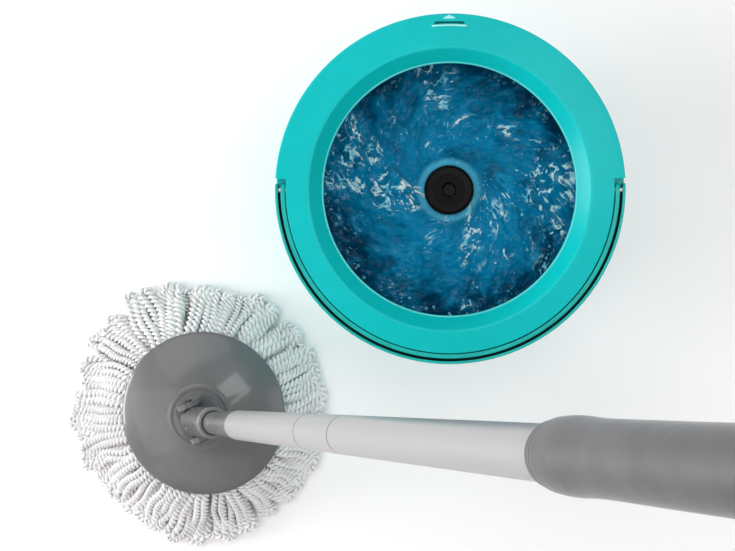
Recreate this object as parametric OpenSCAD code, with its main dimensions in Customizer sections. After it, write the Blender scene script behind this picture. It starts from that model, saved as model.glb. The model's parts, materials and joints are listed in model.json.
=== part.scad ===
// Spin mop set: a round bucket with a spinning centre spindle, and a string mop whose
// handle is pumped to spin its head dry. Millimetres, +Z up, origin at the centre of the
// bucket's underside. The mop stands beside the bucket with its handle leaning.

/* [Bucket] */
// Height of the collar's crest above the floor
bucket_h = 265; // [200:1:340]
// Radius of the collar's outer edge, which is the widest part of the bucket
rim_r = 145.5; // [130:0.5:180]
// Radius of the opening that the mop head goes through
opening_r = 105.5; // [95:0.5:112]
// Radius of the bucket's wall at the floor
base_r = 98; // [85:1:112]
// Thickness of the bucket's wall
bucket_wall = 2.4; // [1.8:0.1:3.5]
// Thickness of the collar and of its walls
collar_wall = 2.2; // [1.6:0.1:3]
// Drop of the funnel from the crest to the opening
funnel_drop = 13; // [8:1:24]
// Height of the collar's outer skirt
skirt_h = 22; // [16:1:36]

/* [Bail handle] */
// Height of the bail's U-section
bail_h = 11; // [8:0.5:14]
// Width of the bail's U-section
bail_w = 8.3; // [7:0.1:11]
// Width of the channel that runs along the bail
bail_channel = 2.3; // [1.5:0.1:4]
// Radius of the two pins that the bail turns on
bail_pin_r = 2.5; // [1.5:0.1:3.5]

/* [Spindle] */
// Height of the spindle cap's top above the floor
spindle_h = 204; // [150:1:225]
// Radius of the spindle cap, which the mop head drops over
spindle_r = 21.3; // [16:0.1:24]
// Height of the spindle cap
spindle_cap_h = 22; // [16:1:30]
// Radius of the steel axle
axle_r = 4; // [3:0.5:5]

/* [Mop head] */
// Place of the mop head's axis to the right of the bucket's axis
mop_x = -246.5; // [-330:0.5:-240]
// Place of the mop head's axis behind the bucket's axis
mop_y = -224; // [-330:0.5:-215]
// Radius of the domed disc
disc_r = 82.5; // [74:0.5:95]
// Height of the disc's edge above the floor
disc_edge_z = 44; // [38:1:56]
// Rise of the dome from its edge to its middle
dome_rise = 21; // [14:1:30]
// Thickness of the disc
disc_wall = 2.4; // [1.8:0.1:3.5]
// Radius of the yarn as it lies on the floor
yarn_r = 134; // [110:1:160]

/* [Handle] */
// Lean of the handle from upright
handle_lean = 22; // [0:0.5:40]
// Compass direction of the lean, from +X towards +Y
handle_azimuth = 22; // [10:0.5:30]
// Outside radius of the handle's tubes
tube_r = 12.2; // [10.5:0.1:14]
// Wall of the handle's tubes
tube_wall = 1; // [0.8:0.1:1.6]
// Distance from the tilt pivot to the lower tube
neck_len = 208; // [170:1:250]
// Length of the lower tube
lower_tube_len = 234; // [180:1:320]
// Length of the coupling band between the tubes
coupling_len = 86; // [50:1:120]
// Length of the upper tube
upper_tube_len = 442; // [360:1:560]
// Outside radius of the grip sleeve
grip_r = 15; // [14.4:0.1:17]
// Travel of the grip sleeve when it is pumped
pump_travel = 140; // [80:5:160]
// Length of one full turn of the twisted rod
twist_lead = 110; // [80:5:160]

/* [Clearances] */
// Gap between pieces that stand together
fit_gap = 0.15; // [0.05:0.05:0.4]
// Gap between pieces that turn or swing past each other
swing_gap = 0.5; // [0.3:0.1:1]
// Radial clearance of an axle or shaft in its bearing
run_gap = 0.05; // [0.02:0.01:0.1]

/* [Hidden] */
$fn = 96;
eps = 0.01;

teal = [0.05, 0.74, 0.73];
dark_teal = [0.04, 0.60, 0.60];
grey = [0.46, 0.45, 0.46];
dark_grey = [0.30, 0.30, 0.31];
silver = [0.80, 0.80, 0.81];
steel = [0.66, 0.67, 0.69];
white = [0.93, 0.93, 0.92];
black = [0.06, 0.06, 0.06];

// Bucket body
pad_h = 1.5;
pad_r = 26;
foot_z = 0.8;
foot_wall = 3.2;
floor_z = 6;
floor_t = 2.6;
floor_top = floor_z + floor_t;
foot_ring_w = 9;
post_socket_r = 34.2;
post_socket_wall = 2.8;
post_socket_h = 9;

// Collar: a crest with a funnel inside it and a gentle fall outside it
crest_r = opening_r + 11.5;
outer_fall = 2.8;
bail_in_r = rim_r - bail_w;
snap_out_r = bail_in_r - 0.9;
snap_in_r = snap_out_r - collar_wall;
wall_top_r = snap_in_r - 0.6;
function collar_top(r) = bucket_h - outer_fall * (r - crest_r) / (rim_r - crest_r);
wall_top_z = collar_top(snap_in_r) - collar_wall - 0.4;
function bucket_wall_r(z) = base_r + (wall_top_r - base_r) * z / wall_top_z;
opening_z = bucket_h - funnel_drop;
skirt_z = bucket_h - outer_fall - skirt_h;
snap_depth = 16;
lip_r = 1.5;

// Bail: lies in a recess round the front half of the collar
bail_top_z = collar_top(rim_r);
bail_pivot_z = bail_top_z - bail_h / 2;
bail_eye_r = bail_h / 2 + 0.1;
ledge_z = bail_pivot_z - bail_eye_r - swing_gap;
pocket_y = bail_eye_r + 3.9;
pocket_angle = asin(pocket_y / (rim_r - bail_w / 2));
bail_inner_flange = (bail_w - bail_channel) * 0.6;
bail_web = 3;
pin_out_r = rim_r - 0.3;

// Pour mark at the back of the collar
mark_slot_w = 27;
mark_slot_d = 3.4;
mark_slot_r = rim_r - 7;
mark_depth = 1.3;
arrow_w = 13;
arrow_h = 3.2;
arrow_r = rim_r - 4.4;
arrow_rise = 0.6;

// Spindle
cap_z = spindle_h - spindle_cap_h;
cap_wall = 2.6;
cap_chamfer = 2;
thrust_t = 1.6;
post_top_z = cap_z - thrust_t - 2 * fit_gap;
post_top_r = spindle_r - 2.8;
post_flange_t = 3.4;
post_foot_r = 27;
post_wall = 2.6;
axle_seat_h = 36;
axle_boss_r = axle_r + 4;
bush_r = axle_r + 2.5;
bush_h = 6;
cap_hub_r = bush_r + 2.6;
screw_head_r = 6;
recess_r = screw_head_r + 0.4;
recess_rim_r = screw_head_r + 2.4;
recess_rim_rise = 0.7;
axle_screw_len = 10;
post_screw_ring = 30.5;
post_screw_r = 1.5;
post_head_r = 2.85;
post_head_h = 2;

// Mop head, measured from the floor upwards
dome_r = (disc_r * disc_r + dome_rise * dome_rise) / (2 * dome_rise);
dome_top_z = disc_edge_z + dome_rise;
dome_centre_z = dome_top_z - dome_r;
function dome_z(r) = dome_centre_z + sqrt(dome_r * dome_r - r * r);
edge_lip = 4;
hub_r = 13;
stem_r = 8.9;
turret_r = 19.5;
turret_top = dome_top_z + 1;
hub_bottom = turret_top - 19.5;
hub_ring_r = 29.5;
hub_ring_t = 1.3;
hub_ring_rise = 0.9;
carrier_z = disc_edge_z - 10.5;
carrier_t = 3.2;
carrier_r = disc_r - 5;
socket_r = spindle_r + 1;
socket_wall = 2.5;
socket_depth = 21;
boss_ring_r = 50;
boss_r = 4.5;
carrier_screw_r = 1.5;
carrier_head_r = 3.8;
carrier_head_h = 2.4;
carrier_screw_bite = 9;
carrier_rim_h = 4;
carrier_rim_w = 2;
yarn_in_r = socket_r + socket_wall + 3;
yarn_top = carrier_z - 4;

// Tilting joint
barrel_r = 14.2;
yoke_base_r = 18.5;
yoke_base_z = turret_top + 0.3;
yoke_base_t = 8.6;
pivot_z = yoke_base_z + yoke_base_t + barrel_r + swing_gap;
ear_t = 5;
ear_r = 11;
ear_in = barrel_r + swing_gap;
pin_r = 3;
pin_head_r = 5;
pin_head_t = 1.6;
barrel_len = 84;
ring_len = 13;
neck_r = 10.4;
spigot_len = 38;
neck_straight = 40;
neck_end_r = tube_r - 0.4;
dimple_r = 2.6;
dimple_s = 21;
dimple_depth = 3.5;
stem_washer_t = 2;
stem_washer_z = hub_bottom - stem_washer_t - 0.3;
stem_screw_len = 15;
stem_head_r = 5;
stem_head_h = 2.6;

// Stations along the handle, from the tilt pivot
tube_in_r = tube_r - tube_wall;
s_lower = neck_len;
s_coupling = s_lower + lower_tube_len;
s_upper = s_coupling + coupling_len;
s_top = s_upper + upper_tube_len;
grip_overlap = 135;
stroke_room = 51;
plug_len = 14;
grip_len = grip_overlap + pump_travel + stroke_room + plug_len;
s_grip = s_top - grip_overlap;
s_cap = s_grip + grip_len;
seam = 0.7;
seam_depth = 0.8;
coupling_in_r = tube_in_r - 3;
housing_len = 28;
nut_r = 7.8;
nut_h = 4;
nut_z = s_top - 5;
nut_seat_r = nut_r + 0.2;
rod_w = 7;
rod_t = 2.4;
rod_play = 0.28;
rod_hole_r = 5;
grip_in_r = tube_r + 0.8;
plug_r = grip_in_r - 1.2;
rod_end_inset = 10;
rod_len = grip_len - plug_len - rod_end_inset;
rod_seat = 8;
rod_pin_r = 1;
rod_pin_s = s_cap - plug_len + rod_seat / 2;
bush_len = 28;
bush_out_r = tube_r + 1.9;
bulge = 1;
bulge_z = 22;
bulge_w = 16;
mouth_z = 9;
mouth_in = 2.2;
eye_r = 9;
eye_t = 6;
hang_r = 4.5;
eye_rise = 26;
cap_lip = 3;

module mop_place() {
    translate([mop_x, mop_y, 0]) children();
}

module yoke_place() {
    mop_place() rotate([0, 0, handle_azimuth]) children();
}

// Local +Z runs up the handle from the tilt pivot, and local Y is the pivot's axis
module handle_place() {
    yoke_place() translate([0, 0, pivot_z]) rotate([0, handle_lean, 0]) children();
}

module tube(r_out, r_in, h, z = 0) {
    translate([0, 0, z]) difference() {
        cylinder(r = r_out, h = h);
        translate([0, 0, -1]) cylinder(r = r_in, h = h + 2);
    }
}

module rod_along(r, h, z = 0) {
    translate([0, 0, z]) cylinder(r = r, h = h);
}

// A cylinder along Y, centred on the origin
module cross_rod(r, h) {
    rotate([90, 0, 0]) cylinder(r = r, h = h, center = true);
}

module ring_of(count, r) {
    for (i = [0 : count - 1]) rotate([0, 0, 360 / count * (i + 0.5)]) translate([r, 0, 0]) children();
}

// ---------- bucket ----------

module bucket_shell() {
    inner_foot = bucket_wall_r(foot_z) - foot_wall;
    color(teal) difference() {
        rotate_extrude() polygon([
            [0, pad_h], [pad_r + 1, pad_h], [pad_r + 1, floor_z],
            [inner_foot, floor_z], [inner_foot, foot_z], [bucket_wall_r(foot_z), foot_z],
            [wall_top_r, wall_top_z], [wall_top_r - bucket_wall, wall_top_z],
            [bucket_wall_r(floor_top) - bucket_wall, floor_top],
            [post_socket_r + post_socket_wall, floor_top],
            [post_socket_r + post_socket_wall, floor_top + post_socket_h],
            [post_socket_r, floor_top + post_socket_h], [post_socket_r, floor_top],
            [0, floor_top]
        ]);
        ring_of(3, post_screw_ring) rod_along(post_screw_r, floor_t + 2, floor_z - 1);
    }
}

module base_pads() {
    ring_out = bucket_wall_r(foot_z) - foot_wall - fit_gap;
    color(black) {
        rod_along(pad_r, pad_h);
        tube(ring_out, ring_out - foot_ring_w, floor_z);
    }
}

// Section of the collar's inner part, from the opening to the wall that snaps over the bucket
function collar_core() = [
    [opening_r, opening_z - lip_r], [opening_r, opening_z], [crest_r, bucket_h],
    [snap_out_r, collar_top(snap_out_r)]
];

function collar_core_under() = [
    [snap_out_r, bucket_h - snap_depth - outer_fall], [snap_in_r, bucket_h - snap_depth - outer_fall],
    [snap_in_r, collar_top(snap_in_r) - collar_wall], [crest_r, bucket_h - collar_wall * 1.15],
    [opening_r + collar_wall, opening_z - lip_r]
];

module collar_back_section() {
    polygon(concat(
        collar_core(),
        [[rim_r - 1, collar_top(rim_r)], [rim_r, collar_top(rim_r) - 1],
         [rim_r, skirt_z], [rim_r - collar_wall, skirt_z],
         [rim_r - collar_wall, collar_top(rim_r) - collar_wall],
         [snap_out_r, collar_top(snap_out_r) - collar_wall]],
        collar_core_under()
    ));
}

module collar_front_section() {
    polygon(concat(
        collar_core(),
        [[snap_out_r, ledge_z], [rim_r, ledge_z], [rim_r, skirt_z], [rim_r - collar_wall, skirt_z],
         [rim_r - collar_wall, ledge_z - collar_wall], [snap_out_r, ledge_z - collar_wall]],
        collar_core_under()
    ));
}

module pour_mark_slot() {
    translate([0, mark_slot_r, collar_top(mark_slot_r) - mark_depth])
        linear_extrude(height = 4)
            polygon([
                [-mark_slot_w / 2, -mark_slot_d / 2], [mark_slot_w / 2, -mark_slot_d / 2],
                [mark_slot_w / 2 - mark_slot_d, mark_slot_d / 2],
                [mark_slot_d - mark_slot_w / 2, mark_slot_d / 2]
            ]);
}

module pour_mark_arrow() {
    translate([0, arrow_r, collar_top(arrow_r) - 1])
        linear_extrude(height = 1 + arrow_rise)
            polygon([[-arrow_w / 2, 0], [arrow_w / 2, 0], [0, arrow_h]]);
}

module splash_collar() {
    front_span = 180 + 2 * pocket_angle;
    end_wall = 1;
    color(teal) difference() {
        union() {
            rotate([0, 0, 180 - pocket_angle]) rotate_extrude(angle = front_span) collar_front_section();
            rotate([0, 0, pocket_angle]) rotate_extrude(angle = 360 - front_span) collar_back_section();
            for (a = [pocket_angle, 180 - pocket_angle - end_wall])
                rotate([0, 0, a]) rotate_extrude(angle = end_wall)
                    polygon([
                        [snap_in_r + 1, ledge_z - collar_wall], [rim_r - 0.5, ledge_z - collar_wall],
                        [rim_r - 0.5, collar_top(rim_r) - 1.2], [snap_in_r + 1, collar_top(snap_in_r) - 1.2]
                    ]);
            pour_mark_arrow();
        }
        pour_mark_slot();
        translate([0, 0, bail_pivot_z]) rotate([0, 90, 0])
            cylinder(r = bail_pin_r, h = 2 * (snap_out_r + 1), center = true);
    }
}

module bail_section() {
    h = bail_h;
    w1 = bail_inner_flange;
    w2 = w1 + bail_channel;
    translate([bail_in_r, bail_top_z - h]) polygon([
        [0.6, 0], [bail_w - 0.6, 0], [bail_w, 0.6], [bail_w, h - 0.5], [bail_w - 0.5, h], [w2, h],
        [w2, bail_web], [w1, bail_web], [w1, h], [0.5, h], [0, h - 0.5], [0, 0.6]
    ]);
}

// One cheek of a bail end: a straight stretch rounded about the pin
module bail_cheek(from_r, width) {
    translate([from_r, 0, bail_pivot_z]) rotate([0, 90, 0]) difference() {
        cylinder(r = bail_eye_r, h = width);
        translate([-2 * bail_eye_r, -2 * bail_eye_r, -1])
            cube([4 * bail_eye_r, 2 * bail_eye_r, width + 2]);
    }
}

module bail_handle() {
    outer_from = bail_in_r + bail_inner_flange + bail_channel;
    color(dark_teal) difference() {
        union() {
            rotate([0, 0, 180]) rotate_extrude(angle = 180) bail_section();
            for (side = [0, 1]) mirror([side, 0, 0]) {
                bail_cheek(bail_in_r, bail_inner_flange);
                bail_cheek(outer_from, rim_r - outer_from);
            }
        }
        translate([0, 0, bail_pivot_z]) rotate([0, 90, 0])
            cylinder(r = bail_pin_r + 2 * run_gap, h = 2 * rim_r + 2, center = true);
    }
}

module bail_pins() {
    color(steel) for (side = [0, 1]) mirror([side, 0, 0])
        translate([snap_in_r, 0, bail_pivot_z]) rotate([0, 90, 0])
            cylinder(r = bail_pin_r, h = pin_out_r - snap_in_r);
}

module spin_post() {
    flange_r = post_socket_r - fit_gap;
    seat_z = post_top_z - axle_seat_h;
    color(teal) difference() {
        rotate_extrude() polygon([
            [post_foot_r - post_wall, floor_top], [flange_r, floor_top],
            [flange_r, floor_top + post_flange_t], [post_foot_r, floor_top + post_flange_t],
            [post_top_r, post_top_z], [axle_r, post_top_z], [axle_r, seat_z], [axle_boss_r, seat_z],
            [axle_boss_r, post_top_z - post_wall], [post_top_r - post_wall, post_top_z - post_wall]
        ]);
        ring_of(3, post_screw_ring) rod_along(post_screw_r, post_flange_t + 2, floor_top - 1);
    }
}

module post_screws() {
    color(steel) ring_of(3, post_screw_ring) {
        rod_along(post_screw_r, floor_t + post_flange_t, floor_z);
        rod_along(post_head_r, post_head_h, floor_z - post_head_h);
    }
}

module spindle_axle() {
    color(steel) difference() {
        rod_along(axle_r, spindle_h - cap_wall - (post_top_z - axle_seat_h), post_top_z - axle_seat_h);
        rod_along(axle_r / 2, axle_screw_len + 4, spindle_h - cap_wall - axle_screw_len - 2);
    }
}

module thrust_washer() {
    color(white) tube(cap_hub_r, axle_r + run_gap, thrust_t, post_top_z + fit_gap);
}

module spindle_cap() {
    h = spindle_cap_h;
    color(black) translate([0, 0, cap_z]) rotate_extrude() polygon([
        [spindle_r - cap_wall, 0], [spindle_r, 0], [spindle_r, h - cap_chamfer],
        [spindle_r - cap_chamfer, h], [recess_rim_r, h], [recess_rim_r - 0.8, h + recess_rim_rise],
        [recess_r, h + recess_rim_rise], [recess_r, h - cap_wall],
        [bush_r, h - cap_wall], [bush_r, 0], [cap_hub_r, 0], [cap_hub_r, h - cap_wall],
        [spindle_r - cap_wall, h - cap_wall]
    ]);
}

module bush(z) {
    color(white) tube(bush_r, axle_r + run_gap, bush_h, z);
}

module lower_bush() {
    bush(cap_z);
}

module upper_bush() {
    bush(spindle_h - cap_wall - bush_h);
}

module axle_screw() {
    color(dark_grey) {
        rod_along(axle_r / 2, axle_screw_len, spindle_h - cap_wall - axle_screw_len);
        rod_along(screw_head_r, cap_wall - 0.6, spindle_h - cap_wall + 0.2);
        rod_along(axle_r / 2, 0.4, spindle_h - cap_wall - 0.1);
    }
}

// ---------- mop head ----------

module dome_solid(r) {
    translate([0, 0, dome_centre_z]) sphere(r = r, $fn = 180);
}

module disc_cover() {
    lip_z = disc_edge_z - edge_lip;
    color(grey) mop_place() difference() {
        union() {
            difference() {
                intersection() {
                    dome_solid(dome_r);
                    rod_along(disc_r, dome_top_z, lip_z);
                }
                intersection() {
                    dome_solid(dome_r - disc_wall);
                    rod_along(disc_r - disc_wall, dome_top_z, lip_z - 1);
                }
            }
            rod_along(turret_r, turret_top - dome_z(turret_r) + disc_wall, dome_z(turret_r) - disc_wall);
            rod_along(hub_r, turret_top - hub_bottom, hub_bottom);
            tube(hub_ring_r + hub_ring_t, hub_ring_r - hub_ring_t, disc_wall,
                 dome_z(hub_ring_r) - disc_wall + hub_ring_rise);
            ring_of(3, boss_ring_r)
                rod_along(boss_r, dome_z(boss_ring_r) - carrier_z - carrier_t - disc_wall / 2,
                          carrier_z + carrier_t + fit_gap);
        }
        rod_along(stem_r + 2 * run_gap, dome_top_z, hub_bottom - 1);
        ring_of(3, boss_ring_r)
            rod_along(carrier_screw_r, carrier_screw_bite + 3, carrier_z + carrier_t - 1);
    }
}

module yarn_carrier() {
    color(dark_grey) mop_place() difference() {
        rotate_extrude() polygon([
            [0, carrier_z], [socket_r, carrier_z], [socket_r, carrier_z - socket_depth],
            [socket_r + socket_wall, carrier_z - socket_depth], [socket_r + socket_wall, carrier_z],
            [carrier_r, carrier_z], [carrier_r, carrier_z + carrier_t + carrier_rim_h],
            [carrier_r - carrier_rim_w, carrier_z + carrier_t + carrier_rim_h],
            [carrier_r - carrier_rim_w, carrier_z + carrier_t],
            [0, carrier_z + carrier_t]
        ]);
        ring_of(3, boss_ring_r) rod_along(carrier_screw_r, carrier_t + 2, carrier_z - 1);
    }
}

module carrier_screws() {
    color(steel) mop_place() ring_of(3, boss_ring_r) {
        rod_along(carrier_screw_r, carrier_t + carrier_screw_bite, carrier_z);
        rod_along(carrier_head_r, carrier_head_h, carrier_z - carrier_head_h);
    }
}

// The whole bundle of yarn as one soft, closed solid
module yarn_ring() {
    edge = yarn_r - disc_r;
    color(white) mop_place() rotate_extrude() polygon([
        [yarn_in_r, 0], [yarn_r - 4, 0], [yarn_r, 4], [yarn_r - 1, 10],
        [yarn_r - edge * 0.22, 22], [yarn_r - edge * 0.48, disc_edge_z - 12],
        [yarn_r - edge * 0.72, disc_edge_z - 7], [disc_r + 3, disc_edge_z - 6],
        [disc_r - 3, yarn_top + 2], [carrier_r, yarn_top], [yarn_in_r, yarn_top]
    ]);
}

// ---------- tilting joint ----------

module yoke_ear() {
    translate([0, ear_in + ear_t / 2, 0]) {
        translate([0, 0, pivot_z]) cross_rod(ear_r, ear_t);
        translate([-ear_r, -ear_t / 2, yoke_base_z])
            cube([2 * ear_r, ear_t, pivot_z - yoke_base_z]);
    }
}

module yoke() {
    color(grey) yoke_place() difference() {
        union() {
            intersection() {
                rod_along(yoke_base_r + 4, yoke_base_t, yoke_base_z);
                translate([-yoke_base_r, -ear_in - ear_t, 0])
                    cube([2 * yoke_base_r, 2 * (ear_in + ear_t), yoke_base_z + yoke_base_t]);
            }
            rod_along(stem_r, yoke_base_z - hub_bottom + 0.3, hub_bottom - 0.3);
            yoke_ear();
            mirror([0, 1, 0]) yoke_ear();
        }
        translate([0, 0, pivot_z]) cross_rod(pin_r, 3 * yoke_base_r);
        rod_along(carrier_screw_r, stem_screw_len + 1, hub_bottom - 1);
    }
}

module stem_washer() {
    color(steel) yoke_place() tube(hub_r - 1, carrier_screw_r, stem_washer_t, stem_washer_z);
}

module stem_screw() {
    color(steel) yoke_place() {
        rod_along(carrier_screw_r, stem_screw_len, stem_washer_z);
        rod_along(stem_head_r, stem_head_h, stem_washer_z - stem_head_h);
    }
}

module pivot_pin() {
    span = 2 * (ear_in + ear_t);
    color(steel) yoke_place() translate([0, 0, pivot_z]) {
        cross_rod(pin_r, span);
        for (side = [-1, 1]) translate([0, side * (span + pin_head_t) / 2, 0])
            cross_rod(pin_head_r, pin_head_t);
    }
}

module knuckle_neck() {
    taper_z = barrel_len + ring_len + neck_straight;
    color(dark_grey) handle_place() difference() {
        union() {
            sphere(r = barrel_r);
            rod_along(barrel_r, barrel_len);
            rod_along(neck_r, neck_len - barrel_len + eps, barrel_len - eps);
            rod_along(tube_in_r - fit_gap, spigot_len, neck_len);
            translate([0, 0, taper_z]) cylinder(r1 = neck_r, r2 = neck_end_r, h = neck_len - taper_z);
        }
        cross_rod(pin_r + 2 * run_gap, 3 * barrel_r);
        translate([-barrel_r, 0, dimple_s]) rotate([0, 90, 0])
            cylinder(r = dimple_r, h = 2 * dimple_depth, center = true);
    }
}

module joint_ring() {
    color(grey) handle_place() rotate_extrude() polygon([
        [neck_r + fit_gap, barrel_len + seam], [barrel_r - 0.8, barrel_len + seam],
        [barrel_r, barrel_len + seam + 0.8], [barrel_r, barrel_len + ring_len - 1],
        [barrel_r - 1, barrel_len + ring_len], [neck_r + fit_gap, barrel_len + ring_len]
    ]);
}

// ---------- handle ----------

module lower_tube() {
    color(silver) handle_place() tube(tube_r, tube_in_r, lower_tube_len, s_lower);
}

module coupling() {
    spigot_r = tube_in_r - fit_gap;
    color(silver) handle_place() rotate_extrude() polygon([
        [coupling_in_r, s_coupling - spigot_len], [spigot_r, s_coupling - spigot_len],
        [spigot_r, s_coupling], [tube_r - seam_depth, s_coupling],
        [tube_r - seam_depth, s_coupling + seam], [tube_r, s_coupling + seam],
        [tube_r, s_upper - seam], [tube_r - seam_depth, s_upper - seam],
        [tube_r - seam_depth, s_upper], [spigot_r, s_upper],
        [spigot_r, s_upper + spigot_len], [coupling_in_r, s_upper + spigot_len]
    ]);
}

module upper_tube() {
    color(silver) handle_place() tube(tube_r, tube_in_r, upper_tube_len, s_upper);
}

module clutch_housing() {
    flange_t = 2;
    color(dark_grey) handle_place() rotate_extrude() polygon([
        [rod_hole_r, s_top - housing_len], [tube_in_r - fit_gap, s_top - housing_len],
        [tube_in_r - fit_gap, s_top], [tube_r, s_top], [tube_r, s_top + flange_t],
        [nut_seat_r, s_top + flange_t], [nut_seat_r, nut_z - 0.3], [rod_hole_r, nut_z - 0.3]
    ]);
}

module drive_nut() {
    turn = 360 * (nut_z + nut_h / 2) / twist_lead;
    half_turn = 180 * nut_h / twist_lead;
    slot_t = rod_t + 2 * (rod_w / 2 * tan(half_turn) + rod_play);
    color(white) handle_place() difference() {
        rod_along(nut_r, nut_h, nut_z);
        translate([0, 0, nut_z + nut_h / 2]) rotate([0, 0, turn])
            cube([rod_w + 2 * rod_play, slot_t, 3 * nut_h], center = true);
    }
}

module nut_retainer() {
    color(steel) handle_place()
        tube(nut_seat_r, rod_hole_r, 2, nut_z + nut_h + 0.4);
}

// Radius of the grip at a height above its lower end: a rounded mouth, a bulge and a plain sleeve
function grip_profile(z) =
    grip_r + bulge * exp(-pow((z - bulge_z) / bulge_w, 2)) - mouth_in * pow(max(0, 1 - z / mouth_z), 2);

module grip_sleeve() {
    steps = 28;
    curve_len = 84;
    color(grey) handle_place() translate([0, 0, s_grip]) difference() {
        rotate_extrude() polygon(concat(
            [[grip_in_r, 0]],
            [for (i = [0 : steps]) let (z = curve_len * pow(i / steps, 1.6)) [grip_profile(z), z]],
            [[grip_r, grip_len], [grip_in_r, grip_len]]
        ));
        rod_along(bush_out_r, bush_len + 1, -1);
    }
}

module guide_bush() {
    color(dark_grey) handle_place()
        tube(bush_out_r, tube_r + fit_gap, bush_len, s_grip);
}

module twisted_rod() {
    start = s_cap - plug_len - rod_len;
    length = rod_len + rod_seat;
    color(steel) handle_place() difference() {
        translate([0, 0, start]) rotate([0, 0, 360 * start / twist_lead])
            linear_extrude(height = length, twist = -360 * length / twist_lead, slices = 90, $fn = 16)
                square([rod_w, rod_t], center = true);
        translate([0, 0, rod_pin_s]) cross_rod(rod_pin_r, 2 * rod_w);
    }
}

module rod_pin() {
    color(steel) handle_place() translate([0, 0, rod_pin_s]) cross_rod(rod_pin_r, 2 * plug_r);
}

module end_cap() {
    rod_pocket_r = rod_w / 2 + 0.5;
    plug_z = s_cap - plug_len;
    color(dark_grey) handle_place() difference() {
        union() {
            rod_along(plug_r, plug_len, plug_z);
            rod_along(grip_r, cap_lip, s_cap);
            intersection() {
                translate([0, 0, s_cap + cap_lip]) sphere(r = grip_r);
                rod_along(grip_r, grip_r, s_cap + cap_lip);
            }
            translate([0, 0, s_cap + eye_rise]) cross_rod(eye_r, eye_t);
            translate([-eye_r, -eye_t / 2, s_cap + cap_lip]) cube([2 * eye_r, eye_t, eye_rise - cap_lip]);
        }
        rod_along(rod_pocket_r, rod_seat + 1 + fit_gap, plug_z - 1);
        translate([0, 0, rod_pin_s]) cross_rod(rod_pin_r, 3 * plug_r);
        translate([0, 0, s_cap + eye_rise]) cross_rod(hang_r, 3 * eye_t);
    }
}

bucket_shell();
base_pads();
splash_collar();
bail_handle();
bail_pins();
spin_post();
post_screws();
spindle_axle();
thrust_washer();
spindle_cap();
lower_bush();
upper_bush();
axle_screw();
disc_cover();
yarn_carrier();
carrier_screws();
yarn_ring();
yoke();
stem_washer();
stem_screw();
pivot_pin();
knuckle_neck();
joint_ring();
lower_tube();
coupling();
upper_tube();
clutch_housing();
nut_retainer();
drive_nut();
grip_sleeve();
guide_bush();
twisted_rod();
rod_pin();
end_cap();
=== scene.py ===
"""Spin mop set: the looks of a string mop and of the round bucket that spins it dry.

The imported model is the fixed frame. Turned parts are outlines swept round an axis, plates are
outlines given a thickness, and the yarn is a bundle of two-ply strands carried along their
loops. Every piece rides on the body that it belongs to.
"""
import json
import math

import bmesh
import bpy
import numpy as np
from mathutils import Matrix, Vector


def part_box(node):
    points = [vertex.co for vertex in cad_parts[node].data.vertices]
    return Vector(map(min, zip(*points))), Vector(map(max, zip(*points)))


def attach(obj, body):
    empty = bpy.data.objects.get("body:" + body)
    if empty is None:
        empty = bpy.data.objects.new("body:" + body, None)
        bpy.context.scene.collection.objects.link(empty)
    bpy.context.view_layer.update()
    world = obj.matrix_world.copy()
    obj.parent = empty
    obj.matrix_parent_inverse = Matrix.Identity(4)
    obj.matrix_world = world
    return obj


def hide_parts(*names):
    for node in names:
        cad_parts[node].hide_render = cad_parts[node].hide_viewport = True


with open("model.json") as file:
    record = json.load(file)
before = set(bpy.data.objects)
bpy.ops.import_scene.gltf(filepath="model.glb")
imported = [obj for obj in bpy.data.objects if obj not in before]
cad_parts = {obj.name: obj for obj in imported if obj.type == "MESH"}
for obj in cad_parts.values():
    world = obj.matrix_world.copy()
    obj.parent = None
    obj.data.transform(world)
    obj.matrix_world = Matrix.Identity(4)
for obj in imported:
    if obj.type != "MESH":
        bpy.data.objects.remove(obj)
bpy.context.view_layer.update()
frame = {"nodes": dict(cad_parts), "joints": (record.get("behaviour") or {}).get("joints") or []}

bl_info = {
    "name": "Spin Mop Set",
    "version": (1, 0, 0),
    "blender": (4, 5, 0),
    "location": "3D View > Sidebar > Spin Mop",
    "description": "Builds the looks of a spin mop and its bucket round the packed frame",
    "category": "Object",
}

MM = 0.001
TURN = 2 * math.pi
SEED = 11


# ---------- places taken from the frame ----------

def joint(name):
    """The frame's joint of that name."""
    return next(j for j in frame["joints"] if j["name"] == name)


def place_matrix(x_axis, y_axis, z_axis, origin):
    """4x4 matrix whose columns are three axes and an origin."""
    matrix = np.eye(4)
    matrix[:3, 0] = x_axis
    matrix[:3, 1] = y_axis
    matrix[:3, 2] = z_axis
    matrix[:3, 3] = origin
    return matrix


def raised(x, y, z):
    """The unturned place at that point."""
    return place_matrix((1, 0, 0), (0, 1, 0), (0, 0, 1), (x, y, z))


UP_HANDLE = -np.array(joint("pump_slide")["axis"], float)
PIVOT_AXIS = np.array(joint("handle_tilt")["axis"], float)
PIVOT = np.array(joint("handle_tilt")["pos_m"], float)
HANDLE = place_matrix(np.cross(PIVOT_AXIS, UP_HANDLE), PIVOT_AXIS, UP_HANDLE, PIVOT)
MOP = raised(PIVOT[0], PIVOT[1], 0)
BUCKET = np.eye(4)
LEAN = math.acos(UP_HANDLE[2])


TUBE_R = 12.2


def span(node, radius):
    """Lower and upper station of a round node along the handle, in millimetres from the pivot.

    A leaning cylinder's box reaches radius times sin(lean) past each end's centre."""
    low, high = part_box(node)
    tip = radius * MM * math.sin(LEAN)
    ends = (low[2] + tip, high[2] - tip)
    return tuple((z - PIVOT[2]) / math.cos(LEAN) / MM for z in ends)


# ---------- settings a user would change ----------

def millimetres(name, description, default, low, high):
    """A size in millimetres that a user may change."""
    return bpy.props.FloatProperty(
        name=name, description=f"{description} in millimetres", default=default, min=low, max=high)


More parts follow.
